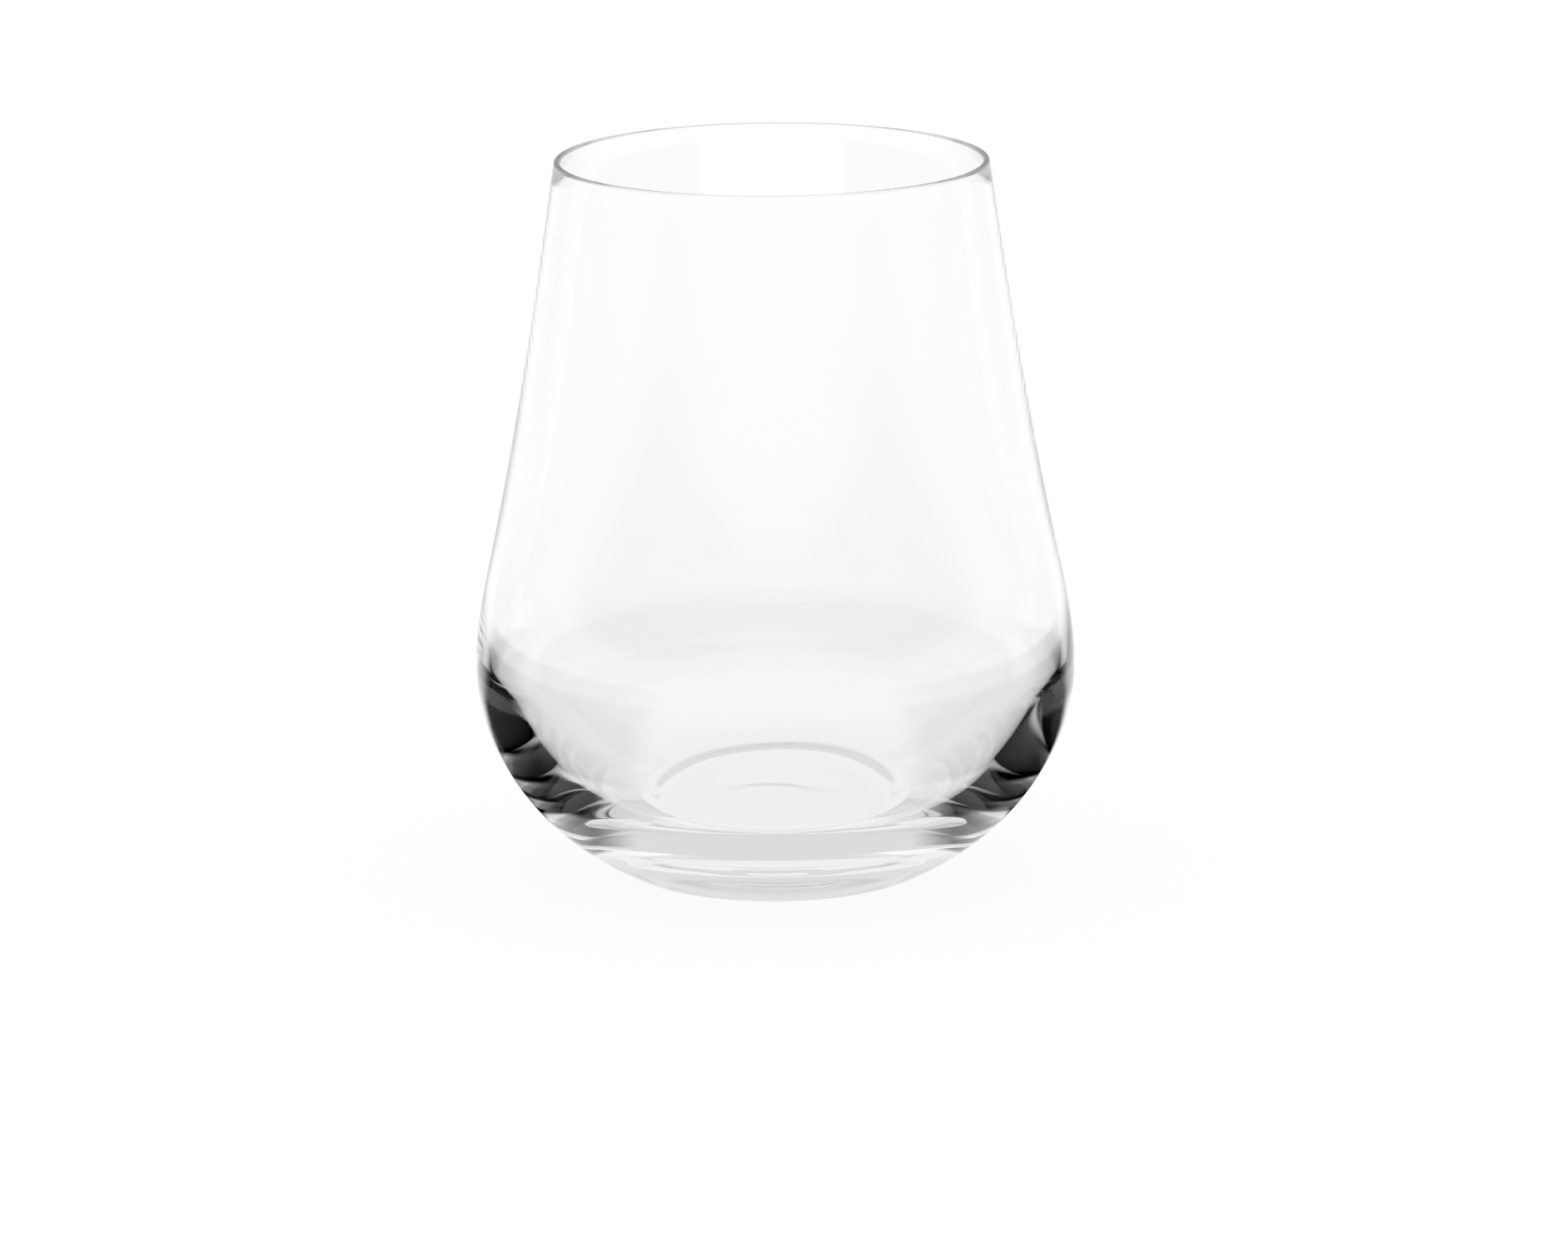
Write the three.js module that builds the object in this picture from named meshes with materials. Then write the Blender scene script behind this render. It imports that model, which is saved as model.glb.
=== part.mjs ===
// A clear, empty, stemless water glass: a thick round base, a low belly and a wall that draws in to a fine rim.
// The real glass is one piece. It is built as four zones turned about +Z, which meet face to face on level planes.
// Lengths are in millimetres, and the table is the plane z = 0.
import * as THREE from "three";

// Outside
const HEIGHT = 106.2;
const RIM_DIAMETER = 63.6;
const BELLY_DIAMETER = 88;
const BELLY_HEIGHT = 30.5; // of the widest plane above the table
const FOOT_DIAMETER = 42.4;

// Underside: a narrow ring to stand on, a shallow step inside it and a soft dome in the middle
const BEARING_RING_WIDTH = 0.8;
const STEP_WIDTH = 4.2;
const STEP_DEPTH = 0.45;
const DOME_DIAMETER = 24;
const DOME_RISE = 0.9; // above the level that the step leads to

// Cavity and walls
const FLOOR_HEIGHT = 8.8; // of the cavity's floor above the table
const FLOOR_DIAMETER = 37.2; // of the floor's flat middle
const INNER_LIFT = 2.5; // of the inside's widest plane above the outside's, over the thick base
const BELLY_WALL = 1.85;
const SHOULDER_WALL = 1.5;
const LIP_THICKNESS = 1;
const RIM_BAND = 4; // height of the fire-polished zone

// Fullness of the curves, as shares of the stretch that each one spans
const HEEL_SPREAD = 0.71;
const HEEL_LIFT = 0.236;
const BELLY_DROP = 0.309;
const BELLY_RISE = 0.18;
const SHOULDER_RISE = 0.177;
const SHOULDER_SPREAD = 0.713;
const CORNER_SPREAD = 0.7;
const CORNER_DROP = 0.27;
const LEVEL_SHARE = 0.45; // at each end of the dome and of the step

// Facets
const SEGMENTS = 64;
const DOME_STEPS = 6;
const STEP_STEPS = 6;
const HEEL_STEPS = 7;
const BELLY_STEPS = 7;
const CORNER_STEPS = 9;
const INNER_LIFT_STEPS = 2;
const WALL_STEPS = 10;
const RIM_STEPS = 2;
const LIP_STEPS = 6;

// Sizes that follow from the ones above
const rimRadius = RIM_DIAMETER / 2;
const bellyRadius = BELLY_DIAMETER / 2;
const footRadius = FOOT_DIAMETER / 2;
const stepRadius = footRadius - BEARING_RING_WIDTH; // of the foot of the step
const stepTopRadius = stepRadius - STEP_WIDTH;
const domeRadius = DOME_DIAMETER / 2;
const floorRadius = FLOOR_DIAMETER / 2;
const innerBellyRadius = bellyRadius - BELLY_WALL;
const innerBellyHeight = BELLY_HEIGHT + INNER_LIFT;
const lipRadius = LIP_THICKNESS / 2;
const lipHeight = HEIGHT - lipRadius; // of the centre of the lip's round
const rimHeight = HEIGHT - RIM_BAND; // of the plane between the wall and the rim

// A point of the section: distance from the axis, and height.
function at(radius, height) {
  return new THREE.Vector2(radius, height);
}

// The value a share of the way from one value to another.
function along(from, to, share) {
  return from + (to - from) * share;
}

// A smooth step from one level to another, level at both ends.
function smoothStep(fromRadius, fromHeight, toRadius, toHeight) {
  return new THREE.CubicBezierCurve(
    at(fromRadius, fromHeight),
    at(along(fromRadius, toRadius, LEVEL_SHARE), fromHeight),
    at(along(toRadius, fromRadius, LEVEL_SHARE), toHeight),
    at(toRadius, toHeight),
  );
}

// Under the base, from the middle outwards: the dome, then the step down to the bearing ring
const dome = smoothStep(0, STEP_DEPTH + DOME_RISE, domeRadius, STEP_DEPTH);
const step = smoothStep(stepTopRadius, STEP_DEPTH, stepRadius, 0);

// Outside, from the bearing ring up to the widest plane
const heel = new THREE.CubicBezierCurve(
  at(footRadius, 0),
  at(along(footRadius, bellyRadius, HEEL_SPREAD), HEEL_LIFT * BELLY_HEIGHT),
  at(bellyRadius, (1 - BELLY_DROP) * BELLY_HEIGHT),
  at(bellyRadius, BELLY_HEIGHT),
);

// Inside, from the flat floor round the corner to the inside's widest plane
const corner = new THREE.CubicBezierCurve(
  at(floorRadius, FLOOR_HEIGHT),
  at(along(floorRadius, innerBellyRadius, CORNER_SPREAD), FLOOR_HEIGHT),
  at(innerBellyRadius, along(innerBellyHeight, FLOOR_HEIGHT, CORNER_DROP)),
  at(innerBellyRadius, innerBellyHeight),
);

// One face of the upper wall, from its own widest plane to the lip, set in by the wall's thickness along it.
function wallFace(bottom, inAtBelly, inAtShoulder, inAtRim) {
  const shoulderRadius = along(rimRadius, bellyRadius, SHOULDER_SPREAD);
  return new THREE.CubicBezierCurve(
    at(bellyRadius - inAtBelly, bottom),
    at(bellyRadius - inAtBelly, along(BELLY_HEIGHT, lipHeight, BELLY_RISE)),
    at(shoulderRadius - inAtShoulder, along(BELLY_HEIGHT, lipHeight, SHOULDER_RISE)),
    at(rimRadius - inAtRim, lipHeight),
  );
}

const outerWall = wallFace(BELLY_HEIGHT, 0, 0, 0);
const innerWall = wallFace(innerBellyHeight, BELLY_WALL, SHOULDER_WALL, LIP_THICKNESS);
const lip = new THREE.ArcCurve(rimRadius - lipRadius, lipHeight, lipRadius, 0, Math.PI, false);

// How far along a rising curve, from 0 to 1, it reaches a height.
function shareAtHeight(curve, height) {
  const HALVINGS = 50;
  let low = 0;
  let high = 1;
  for (let i = 0; i < HALVINGS; i++) {
    const middle = (low + high) / 2;
    if (curve.getPoint(middle).y < height) low = middle;
    else high = middle;
  }
  return high;
}

// Points up a rising curve between two level planes, with the end points exactly on the planes.
function rising(curve, bottom, top, steps) {
  const start = shareAtHeight(curve, bottom);
  const end = shareAtHeight(curve, top);
  const points = [];
  for (let i = 0; i <= steps; i++) points.push(curve.getPoint(along(start, end, i / steps)));
  points[0].y = bottom;
  points[steps].y = top;
  return points;
}

// The same points from the upper plane down.
function falling(curve, bottom, top, steps) {
  return rising(curve, bottom, top, steps).reverse();
}

// Clear, colourless glass.
function clearGlass() {
  return new THREE.MeshStandardMaterial({
    color: 0xf4f4f4,
    roughness: 0.02,
    metalness: 0,
    transparent: true,
    opacity: 0.35,
  });
}

// A zone of the glass: its section turned about +Z.
function turned(name, section) {
  const geometry = new THREE.LatheGeometry(section, SEGMENTS);
  geometry.rotateX(Math.PI / 2);
  const mesh = new THREE.Mesh(geometry, clearGlass());
  mesh.name = name;
  return mesh;
}

// A ring zone: its section goes up the outside and down the inside, and closes on itself.
function turnedRing(name, outside, inside) {
  const section = [...outside, ...inside];
  return turned(name, [...section, section[0].clone()]);
}

// The thick foot, up to the plane of the cavity's floor
const base = turned("base", [
  ...dome.getPoints(DOME_STEPS),
  ...step.getPoints(STEP_STEPS),
  ...rising(heel, 0, FLOOR_HEIGHT, HEEL_STEPS),
  at(0, FLOOR_HEIGHT),
]);

// The heavy lower bowl, from the floor's plane to the widest plane
const belly = turnedRing(
  "belly",
  rising(heel, FLOOR_HEIGHT, BELLY_HEIGHT, BELLY_STEPS),
  falling(corner, FLOOR_HEIGHT, BELLY_HEIGHT, CORNER_STEPS),
);

// The upper wall, which thins as it draws in
const wall = turnedRing(
  "wall",
  rising(outerWall, BELLY_HEIGHT, rimHeight, WALL_STEPS),
  [
    ...falling(innerWall, innerBellyHeight, rimHeight, WALL_STEPS),
    ...falling(corner, BELLY_HEIGHT, innerBellyHeight, INNER_LIFT_STEPS).slice(1),
  ],
);

// The fire-polished rim, with its half-round lip
const rim = turnedRing(
  "rim",
  [...rising(outerWall, rimHeight, lipHeight, RIM_STEPS), ...lip.getPoints(LIP_STEPS).slice(1, -1)],
  falling(innerWall, rimHeight, lipHeight, RIM_STEPS),
);

const glass = new THREE.Group();
glass.name = "water_glass";
glass.add(base, belly, wall, rim);

export default glass;
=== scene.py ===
"""A clear stemless water glass on a white studio ground.

The CAD frame gives the glass as four zones. Here they are shown as what they are: one unbroken turned
piece of clear glass, with the faint waviness that blown glass has on its inside. Lengths are in
millimetres until a mesh or a node tree is made.
"""

import logging
import math
from dataclasses import dataclass
from enum import Enum

import bmesh
import bpy
from mathutils import Matrix, Vector


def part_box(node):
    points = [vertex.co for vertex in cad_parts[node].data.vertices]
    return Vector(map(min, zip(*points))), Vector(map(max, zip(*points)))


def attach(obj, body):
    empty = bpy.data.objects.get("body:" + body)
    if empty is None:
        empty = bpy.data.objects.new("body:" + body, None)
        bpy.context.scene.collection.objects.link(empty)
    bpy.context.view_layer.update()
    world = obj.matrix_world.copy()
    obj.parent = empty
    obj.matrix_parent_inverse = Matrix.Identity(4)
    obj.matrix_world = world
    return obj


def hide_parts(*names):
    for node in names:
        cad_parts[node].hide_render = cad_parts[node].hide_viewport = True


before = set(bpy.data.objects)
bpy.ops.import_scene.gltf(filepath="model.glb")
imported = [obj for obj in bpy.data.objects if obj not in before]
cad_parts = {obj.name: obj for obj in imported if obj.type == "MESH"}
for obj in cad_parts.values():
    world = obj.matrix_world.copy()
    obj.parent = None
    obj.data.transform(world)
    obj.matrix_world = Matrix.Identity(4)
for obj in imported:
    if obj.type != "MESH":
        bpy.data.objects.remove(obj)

log = logging.getLogger("water_glass")

MM = 0.001  # metres in a millimetre
ZONES = ("base", "belly", "wall", "rim")
GLASS_BOUNCES = 128  # most bounces of one ray

Point = tuple[float, float]
Ring = list[bmesh.types.BMVert]


class Ray(Enum):
    """The kinds of ray that the ground and the studio tell apart, named by their Light Path outputs."""

    CAMERA = "Is Camera Ray"
    REFLECTED = "Is Glossy Ray"
    REFRACTED = "Is Transmission Ray"


def along(start: float, end: float, share: float) -> float:
    """Returns the value that is a share of the way from start to end."""
    return start + (end - start) * share


def straight(start: Point, end: Point, steps: int) -> list[Point]:
    """Returns points along a straight stretch of the section, both ends included."""
    shares = [i / steps for i in range(steps + 1)]
    return [(along(start[0], end[0], share), along(start[1], end[1], share)) for share in shares]


def curve(start: Point, leave: Point, arrive: Point, end: Point, steps: int) -> list[Point]:
    """Gives points along a cubic curve of the section.

    Args:
        start: the curve's first point, as radius and height.
        leave: the handle that the curve leaves its start towards.
        arrive: the handle that it comes to its end from.
        end: the curve's last point.
        steps: the number of stretches it is cut into.

    Returns:
        The points, both ends included.
    """
    points = []
    for i in range(steps + 1):
        t = i / steps
        s = 1 - t
        weights = (s * s * s, 3 * s * s * t, 3 * s * t * t, t * t * t)
        handles = (start, leave, arrive, end)
        radius = sum(w * h[0] for w, h in zip(weights, handles))
        height = sum(w * h[1] for w, h in zip(weights, handles))
        points.append((radius, height))
    return points


class NodeSketch:
    """Adds nodes to one node tree and links them."""

    def __init__(self, tree: bpy.types.NodeTree) -> None:
        """Starts on an emptied node tree."""
        self.tree = tree
        tree.nodes.clear()

    def add(self, kind: str, **settings: object) -> bpy.types.Node:
        """Adds a node.

        Args:
            kind: the node's type name.
            settings: the node's own properties.

        Returns:
            The new node.
        """
        node = self.tree.nodes.new(kind)
        for name, value in settings.items():
            setattr(node, name, value)
        return node

    def feed(self, socket: bpy.types.NodeSocket, value: object) -> None:
        """Gives an input socket a link where the value is a socket, and a plain value otherwise.

        Args:
            socket: the input socket.
            value: the output socket to link to it, or the value to set on it.
        """
        if isinstance(value, bpy.types.NodeSocket):
            self.tree.links.new(value, socket)
        else:
            socket.default_value = value

    def sum_up(self, operation: str, *values: object) -> bpy.types.NodeSocket:
        """Works out a sum with a Math node.

        Args:
            operation: the Math node's operation.
            values: its inputs, as numbers or sockets.

        Returns:
            The socket that holds the result.
        """
        node = self.add("ShaderNodeMath", operation=operation)
        for socket, value in zip(node.inputs, values):
            self.feed(socket, value)
        return node.outputs[0]

    def ramp(self, value: bpy.types.NodeSocket, low: float, high: float) -> bpy.types.NodeSocket:
        """Gives a smooth rise.

        Args:
            value: the socket that the rise depends on.
            low: the value up to which the result is 0.
            high: the value from which it is 1.

        Returns:
            The socket that holds the result.
        """
        node = self.add("ShaderNodeMapRange", interpolation_type="SMOOTHSTEP")
        self.feed(node.inputs["Value"], value)
        self.feed(node.inputs["From Min"], low)
        self.feed(node.inputs["From Max"], high)
        return node.outputs["Result"]

    def ramp_in_degrees(self, angle: bpy.types.NodeSocket, low: float, high: float) -> bpy.types.NodeSocket:
        """Returns the smooth rise of an angle in radians between two angles in degrees."""
        return self.ramp(angle, math.radians(low), math.radians(high))

    def turn_from_back(self, parts: bpy.types.Node) -> bpy.types.NodeSocket:
        """Gives the angle of a direction round from straight behind the glass, alike on both sides.

        Args:
            parts: the node that holds the direction's X, Y and Z.

        Returns:
            The socket that holds the angle in radians.
        """
        sideways = self.sum_up("ABSOLUTE", parts.outputs["X"])
        return self.sum_up("ARCTAN2", sideways, parts.outputs["Y"])

    def mirrored(self, share: float) -> bpy.types.NodeSocket:
        """Tells rays that faces have turned back from rays that have passed through them.

        Args:
            share: the share of the faces met that must have turned the ray back.

        Returns:
            A socket that is 1 for a ray mirrored that often and 0 for the others.
        """
        path = self.add("ShaderNodeLightPath")
        needed = self.sum_up("MULTIPLY", path.outputs["Ray Depth"], share)
        return self.sum_up("GREATER_THAN", path.outputs["Glossy Depth"], needed)

    def any_of(self, *rays: Ray) -> bpy.types.NodeSocket:
        """Tells some kinds of ray from the others.

        Args:
            rays: the kinds to pick out.

        Returns:
            A socket that is 1 for those kinds and 0 for the others.
        """
        path = self.add("ShaderNodeLightPath")
        result = path.outputs[rays[0].value]
        for ray in rays[1:]:
            result = self.sum_up("MAXIMUM", result, path.outputs[ray.value])
        return result


@dataclass(frozen=True)
class ClearGlass:
    """Colourless soda-lime glass, fire-polished, with a faint waviness and a breath of film on it."""

    ior: float = 1.51
    tint: tuple[float, float, float] = (1.0, 1.0, 1.0)
    ripple_scale: float = 55.0  # waves per metre
    ripple_detail: float = 1.0
    ripple_height: float = 0.002  # millimetres
    film_scale: float = 240.0  # patches per metre
    film_detail: float = 3.0
    film_roughness: float = 0.003
    depth_colour: tuple[float, float, float] = (0.90, 0.90, 0.90)
    depth_density: float = 1.0  # per metre of glass

    def material(self) -> bpy.types.Material:
        """Makes the finish.

        Returns:
            A new node material.
        """
        material = bpy.data.materials.new("clear_glass")
        material.use_nodes = True
        sketch = NodeSketch(material.node_tree)
        place = sketch.add("ShaderNodeTexCoord").outputs["Object"]
        shader = sketch.add("ShaderNodeBsdfPrincipled")
        sketch.feed(shader.inputs["Base Color"], (*self.tint, 1.0))
        sketch.feed(shader.inputs["IOR"], self.ior)
        sketch.feed(shader.inputs["Transmission Weight"], 1.0)
        sketch.feed(shader.inputs["Roughness"], self.film(sketch, place))
        sketch.feed(shader.inputs["Normal"], self.ripples(sketch, place))
        depth = sketch.add("ShaderNodeVolumeAbsorption")
        sketch.feed(depth.inputs["Color"], (*self.depth_colour, 1.0))
        sketch.feed(depth.inputs["Density"], self.depth_density)
        output = sketch.add("ShaderNodeOutputMaterial")
        sketch.feed(output.inputs["Surface"], shader.outputs[0])
        sketch.feed(output.inputs["Volume"], depth.outputs[0])
        return material

    def film(self, sketch: NodeSketch, place: bpy.types.NodeSocket) -> bpy.types.NodeSocket:
        """Gives the roughness of the film that washing leaves, in soft patches.

        Args:
            sketch: the material's node tree.
            place: the coordinates to vary it by.

        Returns:
            The socket to link to Roughness.
        """
        patches = sketch.add("ShaderNodeTexNoise")
        sketch.feed(patches.inputs["Vector"], place)
        sketch.feed(patches.inputs["Scale"], self.film_scale)
        sketch.feed(patches.inputs["Detail"], self.film_detail)
        return sketch.sum_up("MULTIPLY", patches.outputs[0], self.film_roughness)

    def ripples(self, sketch: NodeSketch, place: bpy.types.NodeSocket) -> bpy.types.NodeSocket:
        """Gives the faint waviness of a fire-polished face.

        Args:
            sketch: the material's node tree.
            place: the coordinates to vary it by.

        Returns:
            The socket to link to Normal.
        """
        waves = sketch.add("ShaderNodeTexNoise")
        sketch.feed(waves.inputs["Vector"], place)
        sketch.feed(waves.inputs["Scale"], self.ripple_scale)
        sketch.feed(waves.inputs["Detail"], self.ripple_detail)
        bump = sketch.add("ShaderNodeBump")
        sketch.feed(bump.inputs["Strength"], 1.0)
        sketch.feed(bump.inputs["Distance"], self.ripple_height * MM)
        sketch.feed(bump.inputs["Height"], waves.outputs[0])
        return bump.outputs[0]


@dataclass(frozen=True)
class WhiteGround:
    """Matt white ground that shows as plain white and keeps a faint shadow.

    On either side of the glass it carries a painted dark patch, like a card lying there.
    Only rays that the glass has mirrored often see the patches, as painted dark reflections at the glass's
    edges.
    """

    own_white: float = 0.92  # what it shows of its own, whatever falls on it
    paper: float = 0.11  # how much of the light that falls on it comes back
    shade: float = 0.07  # how much darker it is beside the glass, as the glass itself shows it
    shade_near: float = 60.0  # distance from the glass's axis where the shade begins to thin
    shade_far: float = 200.0  # and where it ends
    dark_reflection_from: float = 40.0  # degrees round from the back where a painted dark reflection patch begins
    dark_reflection_to: float = 130.0  # and where it ends
    dark_reflection_turn: float = 12.0  # degrees that either end takes to fade
    dark_reflection_near: float = 40.0  # distance from the axis to a painted patch's near edge
    dark_reflection_far: float = 240.0  # and to its far edge
    dark_reflection_edge: float = 3.0  # how far the near edge takes to fade
    dark_reflection_fade: float = 60.0  # and the far edge
    dark_reflection_mirrored: float = 0.31  # share of the faces that must turn a ray back for it to see a painted patch

    def material(self) -> bpy.types.Material:
        """Makes the finish.

        Returns:
            A new node material.
        """
        material = bpy.data.materials.new("white_ground")
        material.use_nodes = True
        sketch = NodeSketch(material.node_tree)
        place = sketch.add("ShaderNodeNewGeometry").outputs["Position"]
        seen = sketch.any_of(Ray.CAMERA, Ray.REFLECTED, Ray.REFRACTED)
        in_glass = sketch.any_of(Ray.REFLECTED, Ray.REFRACTED)
        shade = sketch.sum_up("MULTIPLY", in_glass, self.pool(sketch, place))
        # painted dark reflections: the patches darken the ground only for rays that the glass has mirrored
        # often
        card = sketch.sum_up("MULTIPLY", sketch.mirrored(self.dark_reflection_mirrored), self.dark_reflection_patches(sketch, place))
        bare = sketch.sum_up("SUBTRACT", 1.0, card)
        matt = sketch.add("ShaderNodeBsdfDiffuse")
        sketch.feed(matt.inputs["Color"], sketch.sum_up("MULTIPLY", bare, self.paper))
        white = sketch.sum_up("MULTIPLY", bare, sketch.sum_up("SUBTRACT", self.own_white, shade))
        glow = sketch.add("ShaderNodeEmission")
        sketch.feed(glow.inputs["Strength"], sketch.sum_up("MULTIPLY", seen, white))
        both = sketch.add("ShaderNodeAddShader")
        sketch.feed(both.inputs[0], matt.outputs[0])
        sketch.feed(both.inputs[1], glow.outputs[0])
        output = sketch.add("ShaderNodeOutputMaterial")
        sketch.feed(output.inputs["Surface"], both.outputs[0])
        return material

    def reach(self, sketch: NodeSketch, place: bpy.types.NodeSocket) -> bpy.types.NodeSocket:
        """Gives how far a place on the ground is from the glass's axis.

        Args:
            sketch: the material's node tree.
            place: the place on the ground.

        Returns:
            The socket that holds the distance in metres.
        """
        distance = sketch.add("ShaderNodeVectorMath", operation="LENGTH")
        sketch.feed(distance.inputs[0], place)
        return distance.outputs["Value"]

    def pool(self, sketch: NodeSketch, place: bpy.types.NodeSocket) -> bpy.types.NodeSocket:
        """Gives the soft shade on the ground around the glass.

        Args:
            sketch: the material's node tree.
            place: the place on the ground.

        Returns:
            A socket that is highest beside the glass and 0 far from it.
        """
        thinning = sketch.ramp(self.reach(sketch, place), self.shade_near * MM, self.shade_far * MM)
        return sketch.sum_up("MULTIPLY", sketch.sum_up("SUBTRACT", 1.0, thinning), self.shade)

    def dark_reflection_patches(self, sketch: NodeSketch, place: bpy.types.NodeSocket) -> bpy.types.NodeSocket:
        """Gives the painted dark patches on either side of the glass, which paint the dark reflections at
        its edges.

        Args:
            sketch: the material's node tree.
            place: the place on the ground.

        Returns:
            A socket that is 1 on the painted patches and 0 on the bare ground.
        """
        reach = self.reach(sketch, place)
        parts = sketch.add("ShaderNodeSeparateXYZ")
        sketch.feed(parts.inputs[0], place)
        turn = sketch.turn_from_back(parts)
        begins = sketch.ramp_in_degrees(turn, self.dark_reflection_from, self.dark_reflection_from + self.dark_reflection_turn)
        ends = sketch.ramp_in_degrees(turn, self.dark_reflection_to, self.dark_reflection_to + self.dark_reflection_turn)
        near = sketch.ramp(reach, self.dark_reflection_near * MM, (self.dark_reflection_near + self.dark_reflection_edge) * MM)
        far = sketch.ramp(reach, self.dark_reflection_far * MM, (self.dark_reflection_far + self.dark_reflection_fade) * MM)
        span = sketch.sum_up("SUBTRACT", begins, ends)
        depth = sketch.sum_up("SUBTRACT", near, far)
        return sketch.sum_up("MULTIPLY", span, depth)


@dataclass(frozen=True)
class Wave:
    """One of the waves that add up to the waviness of the inner face."""

    share: float  # of the waviness's height
    lobes: int  # around the glass
    climb: float  # radians that it turns by over the cavity's height
    start: float  # radians

    def at(self, angle: float, level: float) -> float:
        """Returns the wave's part at an angle, for a level from 0 at the floor to 1 at the lip."""
        return self.share * math.sin(self.lobes * angle + self.climb * level + self.start)


@dataclass
class Tumbler:
    """The glass itself: one turned section, from the middle of the underside to the middle of the floor.

    Heights and the widest radius come from the frame. The other sizes repeat those of the CAD zones, apart
    from the foot's round and the waviness, which are only here.
    """

    height: float
    belly_radius: float
    belly_height: float
    floor_height: float
    rim_radius: float = 31.8
    foot_radius: float = 21.2
    foot_round: float = 0.5
    ring_width: float = 0.8
    step_width: float = 4.2
    step_depth: float = 0.45
    dome_radius: float = 12.0
    dome_rise: float = 0.9
    floor_radius: float = 18.6
    inner_lift: float = 2.5  # of the inside's widest plane above the outside's
    belly_wall: float = 1.85
    shoulder_wall: float = 1.5
    lip_thickness: float = 1.0
    # Fullness of the curves, as shares of the stretch that each one spans
    heel_spread: float = 0.71
    heel_lift: float = 0.236
    belly_drop: float = 0.309
    belly_rise: float = 0.18
    shoulder_rise: float = 0.177
    shoulder_spread: float = 0.713
    corner_spread: float = 0.70
    corner_drop: float = 0.27
    level_share: float = 0.45  # at each end of the dome and of the step
    # Waviness of the inner face
    wave_height: float = 0.1
    wave_middle: float = 20.0  # height above the table where the inside is waviest
    wave_reach: float = 9.0
    waves: tuple[Wave, ...] = (Wave(1.0, 2, 5.0, 0.0), Wave(0.5, 5, -11.0, 1.3), Wave(0.3, 9, 19.0, 0.4))
    # Stretches that the section and its turn are cut into
    segments: int = 320
    dome_steps: int = 18
    surround_steps: int = 2
    step_steps: int = 16
    ring_steps: int = 2
    edge_steps: int = 6
    heel_steps: int = 64
    wall_steps: int = 60
    lip_steps: int = 14
    corner_steps: int = 60
    floor_steps: int = 6

    @classmethod
    def from_frame(cls) -> "Tumbler":
        """Takes the glass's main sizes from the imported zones.

        Returns:
            The glass in those sizes.
        """
        base_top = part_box("base")[1]
        belly_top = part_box("belly")[1]
        rim_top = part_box("rim")[1]
        return cls(
            height=rim_top.z / MM,
            belly_radius=belly_top.x / MM,
            belly_height=belly_top.z / MM,
            floor_height=base_top.z / MM,
        )

    def inner_widest(self) -> float:
        """Returns the height of the inside's widest plane."""
        return self.belly_height + self.inner_lift

    def underside(self) -> list[Point]:
        """Gives the section under the base: the dome, its level surround, the step and the bearing ring.

        Returns:
            The points from the middle outwards.
        """
        step_foot = (self.foot_radius - self.ring_width, 0)
        step_top = (step_foot[0] - self.step_width, self.step_depth)
        dome_top = (0, self.step_depth + self.dome_rise)
        dome_foot = (self.dome_radius, self.step_depth)
        dome = self.level_step(dome_top, dome_foot, self.dome_steps)
        surround = straight(dome_foot, step_top, self.surround_steps)
        step = self.level_step(step_top, step_foot, self.step_steps)
        ring = straight(step_foot, (self.foot_radius - self.foot_round, 0), self.ring_steps)
        return dome + surround[1:] + step[1:] + ring[1:]

    def level_step(self, start: Point, end: Point, steps: int) -> list[Point]:
        """Gives a smooth step between two points that is level at both ends.

        Args:
            start: the first point.
            end: the last point.
            steps: the number of stretches it is cut into.

        Returns:
            The points, both ends included.
        """
        leave = (along(start[0], end[0], self.level_share), start[1])
        arrive = (along(end[0], start[0], self.level_share), end[1])
        return curve(start, leave, arrive, end, steps)

    def heel(self) -> list[Point]:
        """Gives the outside from the rounded edge of the bearing ring up to the widest plane.

        Returns:
            The points from the bottom up.
        """
        corner = (self.foot_radius, 0)
        spread = along(self.foot_radius, self.belly_radius, self.heel_spread)
        leave = (spread, self.heel_lift * self.belly_height)
        arrive = (self.belly_radius, (1 - self.belly_drop) * self.belly_height)
        rise = curve(corner, leave, arrive, (self.belly_radius, self.belly_height), self.heel_steps)
        rise = [point for point in rise if point[0] > self.foot_radius + self.foot_round]
        ring_edge = (self.foot_radius - self.foot_round, 0)
        edge = curve(ring_edge, corner, corner, rise[0], self.edge_steps)
        return edge[1:-1] + rise

    def wall_face(self, bottom: float, at_belly: float, at_shoulder: float, at_rim: float) -> list[Point]:
        """Gives one face of the upper wall, from its own widest plane up to the lip.

        Args:
            bottom: the height of the face's widest plane.
            at_belly: how far the face is set in from the outside at the widest plane.
            at_shoulder: how far it is set in where the wall turns in.
            at_rim: how far it is set in at the lip.

        Returns:
            The face's points from the bottom up.
        """
        lip_height = self.height - self.lip_thickness / 2
        shoulder = along(self.rim_radius, self.belly_radius, self.shoulder_spread)
        return curve(
            (self.belly_radius - at_belly, bottom),
            (self.belly_radius - at_belly, along(self.belly_height, lip_height, self.belly_rise)),
            (shoulder - at_shoulder, along(self.belly_height, lip_height, self.shoulder_rise)),
            (self.rim_radius - at_rim, lip_height),
            self.wall_steps,
        )

    def lip(self) -> list[Point]:
        """Gives the half-round of the lip between its two ends.

        Returns:
            The points from outside to inside.
        """
        radius = self.lip_thickness / 2
        centre = (self.rim_radius - radius, self.height - radius)
        turns = [math.pi * i / self.lip_steps for i in range(1, self.lip_steps)]
        return [(centre[0] + radius * math.cos(t), centre[1] + radius * math.sin(t)) for t in turns]

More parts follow.
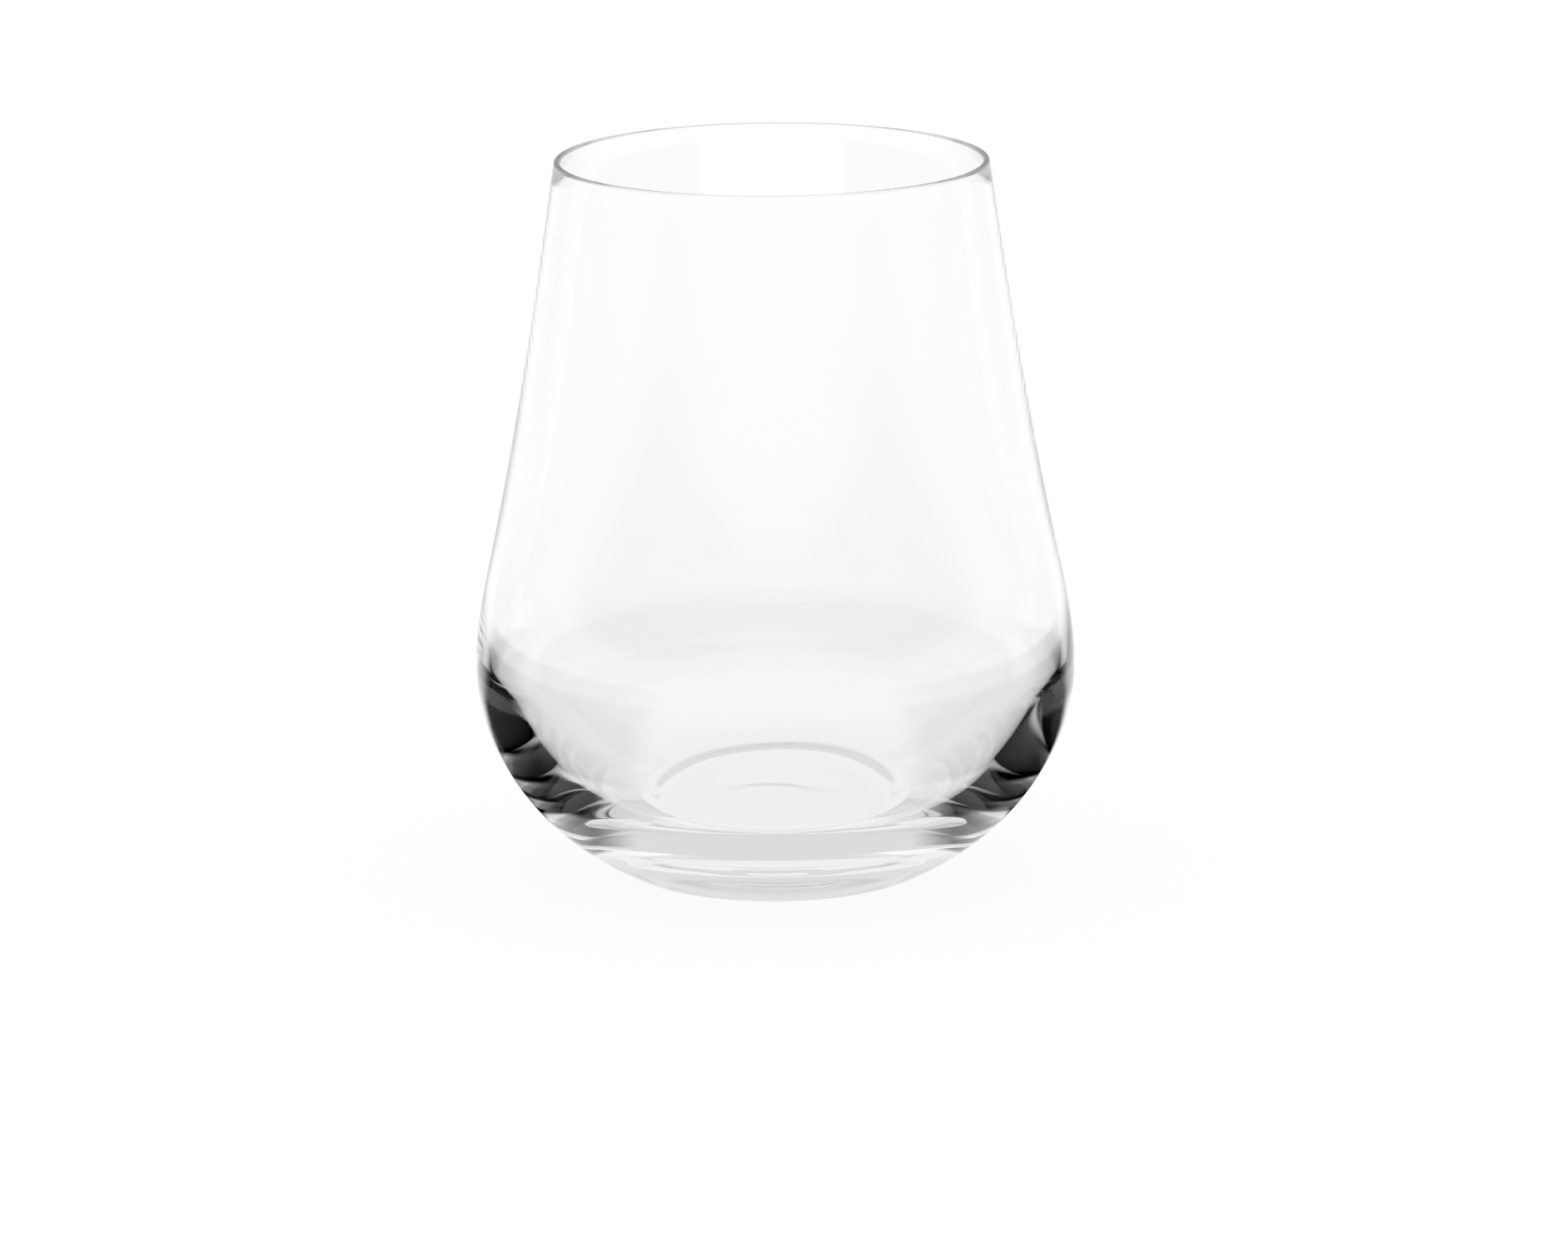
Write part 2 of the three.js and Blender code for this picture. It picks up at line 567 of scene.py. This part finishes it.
    def corner(self) -> list[Point]:
        """Gives the inside from its widest plane down round the corner to the flat floor.

        Returns:
            The points from the top down.
        """
        inner = self.belly_radius - self.belly_wall
        widest = self.inner_widest()
        return curve(
            (inner, widest),
            (inner, along(widest, self.floor_height, self.corner_drop)),
            (along(self.floor_radius, inner, self.corner_spread), self.floor_height),
            (self.floor_radius, self.floor_height),
            self.corner_steps,
        )

    def outside(self) -> list[Point]:
        """Returns the section's outer face, from the middle of the underside to the top of the lip."""
        return self.underside() + self.heel() + self.wall_face(self.belly_height, 0, 0, 0)[1:] + self.lip()

    def inside(self) -> list[Point]:
        """Gives the section's inner face.

        Returns:
            The points from the lip to the middle of the cavity's floor.
        """
        wall = self.wall_face(self.inner_widest(), self.belly_wall, self.shoulder_wall, self.lip_thickness)
        floor = straight((self.floor_radius, self.floor_height), (0, self.floor_height), self.floor_steps)
        return wall[::-1] + self.corner()[1:] + floor[1:]

    def waviness(self, angle: float, height: float) -> float:
        """Gives how far blowing left the inner face from a true round, where it is thick enough to show.

        Args:
            angle: the place around the axis, in radians.
            height: the place above the table.

        Returns:
            The departure in millimetres, towards the outside.
        """
        level = (height - self.floor_height) / (self.height - self.floor_height)
        if level <= 0:
            return 0.0
        fade = math.exp(-(((height - self.wave_middle) / self.wave_reach) ** 2))
        return self.wave_height * fade * sum(wave.at(angle, level) for wave in self.waves)

    def build(self) -> bpy.types.Object:
        """Turns the section about +Z.

        Returns:
            The glass as a new closed mesh object.
        """
        mesh = bpy.data.meshes.new("glass_body")
        work = bmesh.new()
        rings = [self.ring(work, point, False) for point in self.outside()]
        rings += [self.ring(work, point, True) for point in self.inside()]
        for lower, upper in zip(rings, rings[1:]):
            self.skin(work, lower, upper)
        bmesh.ops.recalc_face_normals(work, faces=work.faces)
        for face in work.faces:
            face.smooth = True
        work.to_mesh(mesh)
        work.free()
        glass = bpy.data.objects.new("glass_body", mesh)
        bpy.context.scene.collection.objects.link(glass)
        return glass

    def ring(self, work: bmesh.types.BMesh, point: Point, inner: bool) -> Ring:
        """Adds the vertices that one point of the section makes around the axis.

        Args:
            work: the mesh in the making.
            point: the section's point, as radius and height.
            inner: whether the point is on the inner face, which is wavy.

        Returns:
            The ring's vertices, or a single one where the point is on the axis.
        """
        radius, height = point
        if radius <= 0:
            return [work.verts.new((0, 0, height * MM))]
        vertices = []
        for i in range(self.segments):
            angle = 2 * math.pi * i / self.segments
            reach = radius + (self.waviness(angle, height) if inner else 0)
            place = Vector((reach * math.cos(angle), reach * math.sin(angle), height)) * MM
            vertices.append(work.verts.new(place))
        return vertices

    def skin(self, work: bmesh.types.BMesh, lower: Ring, upper: Ring) -> None:
        """Joins two neighbouring rings with faces, as a fan where one of them is a single vertex.

        Args:
            work: the mesh in the making.
            lower: the ring that comes first along the section.
            upper: the ring that comes next.
        """
        for i in range(self.segments):
            j = (i + 1) % self.segments
            near = [lower[i % len(lower)], lower[j % len(lower)]]
            far = [upper[j % len(upper)], upper[i % len(upper)]]
            work.faces.new(list(dict.fromkeys(near + far)))

    def dress(self, glass: bpy.types.Object, finish: ClearGlass) -> None:
        """Gives the glass its finish, and its place in the frame.

        Args:
            glass: the glass's mesh object.
            finish: the finish to give it.
        """
        glass.data.materials.append(finish.material())
        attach(glass, "root")
        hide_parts(*ZONES)


@dataclass
class Studio:
    """The white ground, the soft light all round and the camera at the photograph's angle."""

    ground_half: float = 4000.0
    ground_drop: float = 0.1  # how far the ground lies below the bearing ring
    eye: tuple[float, float, float] = (0.0, -1360.0, 340.9)
    target: tuple[float, float, float] = (1.3, 0.0, 36.2)  # what the middle of the picture shows
    focal_pixels: float = 11355.6  # focal length, in pixels of the image
    image_width: int = 1880  # pixels
    sensor_width: float = 36.0
    roll: float = -0.0075  # radians
    room_low: float = 3.0  # degrees above the table where the dark side of the room begins
    room_dark_from: float = 6.0  # where it is fully dark
    room_dark_to: float = 24.0  # where it begins to thin
    room_high: float = 30.0  # where it ends
    room_side: float = 30.0  # degrees round from the back where it begins
    room_front: float = 60.0  # and where it is fully dark
    dim: float = 0.12  # how much darker the white sides are where the glass mirrors them often
    dim_mirrored: float = 0.31  # share of the faces that must turn a ray back for that
    white_card_from: float = 120.0  # degrees round from the back where a low white card in front begins
    white_card_full: float = 175.0  # and where it is at its full height
    white_card_height: float = 5.0  # degrees that it stands above the foot of the dark room

    def lay_ground(self, finish: WhiteGround) -> bpy.types.Object:
        """Lays the ground under the glass.

        Args:
            finish: the finish to give it.

        Returns:
            The ground as a new stage object.
        """
        reach = self.ground_half * MM
        mesh = bpy.data.meshes.new("ground")
        corners = [(-reach, -reach, 0), (reach, -reach, 0), (reach, reach, 0), (-reach, reach, 0)]
        mesh.from_pydata(corners, [], [(0, 1, 2, 3)])
        mesh.materials.append(finish.material())
        ground = bpy.data.objects.new("ground", mesh)
        ground.location.z = -self.ground_drop * MM
        bpy.context.scene.collection.objects.link(ground)
        return ground

    def hang_light(self) -> None:
        """Lights the scene from all round, with a darker band of room that only the glass shows."""
        world = bpy.data.worlds.new("studio")
        bpy.context.scene.world = world
        world.use_nodes = True
        sketch = NodeSketch(world.node_tree)
        in_glass = sketch.any_of(Ray.REFLECTED, Ray.REFRACTED)
        room = sketch.sum_up("MULTIPLY", self.room(sketch), in_glass)
        dim = sketch.sum_up("MULTIPLY", sketch.mirrored(self.dim_mirrored), self.dim)
        shade = sketch.sum_up("MAXIMUM", room, dim)
        glow = sketch.add("ShaderNodeBackground")
        sketch.feed(glow.inputs["Strength"], sketch.sum_up("SUBTRACT", 1.0, shade))
        output = sketch.add("ShaderNodeOutputWorld")
        sketch.feed(output.inputs["Surface"], glow.outputs[0])

    def room(self, sketch: NodeSketch) -> bpy.types.NodeSocket:
        """Gives how dark the studio is in each direction.

        Args:
            sketch: the world's node tree.

        Returns:
            A socket that is 0 towards the white sides and 1 towards the dark room.
        """
        parts = sketch.add("ShaderNodeSeparateXYZ")
        sketch.feed(parts.inputs[0], sketch.add("ShaderNodeTexCoord").outputs["Generated"])
        turn = sketch.turn_from_back(parts)
        height = sketch.sum_up("ARCSINE", parts.outputs["Z"])
        card = sketch.ramp_in_degrees(turn, self.white_card_from, self.white_card_full)
        card_top = sketch.sum_up("MULTIPLY", card, math.radians(self.white_card_height))
        above_card = sketch.sum_up("SUBTRACT", height, card_top)
        rise = sketch.ramp_in_degrees(above_card, self.room_low, self.room_dark_from)
        fall = sketch.ramp_in_degrees(height, self.room_dark_to, self.room_high)
        front = sketch.ramp_in_degrees(turn, self.room_side, self.room_front)
        band = sketch.sum_up("SUBTRACT", rise, fall)
        return sketch.sum_up("MULTIPLY", band, front)

    def place_camera(self) -> bpy.types.Object:
        """Sets the camera up at the photograph's viewing angle and framing.

        Returns:
            The camera as a new object.
        """
        data = bpy.data.cameras.new("camera")
        data.sensor_width = self.sensor_width
        data.lens = self.focal_pixels / self.image_width * self.sensor_width
        camera = bpy.data.objects.new("camera", data)
        eye = Vector(self.eye) * MM
        look = Vector(self.target) * MM - eye
        facing = look.to_track_quat("-Z", "Y").to_matrix().to_4x4()
        camera.matrix_world = Matrix.Translation(eye) @ facing @ Matrix.Rotation(self.roll, 4, "Z")
        bpy.context.scene.collection.objects.link(camera)
        bpy.context.scene.camera = camera
        return camera


def let_light_through() -> None:
    """Lets a ray bounce often enough to find its way out of the thick base."""
    cycles = bpy.context.scene.cycles
    cycles.max_bounces = GLASS_BOUNCES
    cycles.glossy_bounces = GLASS_BOUNCES
    cycles.transmission_bounces = GLASS_BOUNCES


def main() -> None:
    """Builds the glass and its studio."""
    logging.basicConfig(level=logging.INFO, format="%(name)s: %(message)s")
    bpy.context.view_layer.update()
    bpy.context.scene.view_settings.view_transform = "Standard"
    let_light_through()
    tumbler = Tumbler.from_frame()
    glass = tumbler.build()
    tumbler.dress(glass, ClearGlass())
    log.info("%s: %d faces, %.1f mm high", glass.name, len(glass.data.polygons), tumbler.height)
    studio = Studio()
    ground = studio.lay_ground(WhiteGround())
    log.info("%s: laid", ground.name)
    studio.hang_light()
    camera = studio.place_camera()
    log.info("%s: placed", camera.name)


if __name__ == "__main__":
    main()
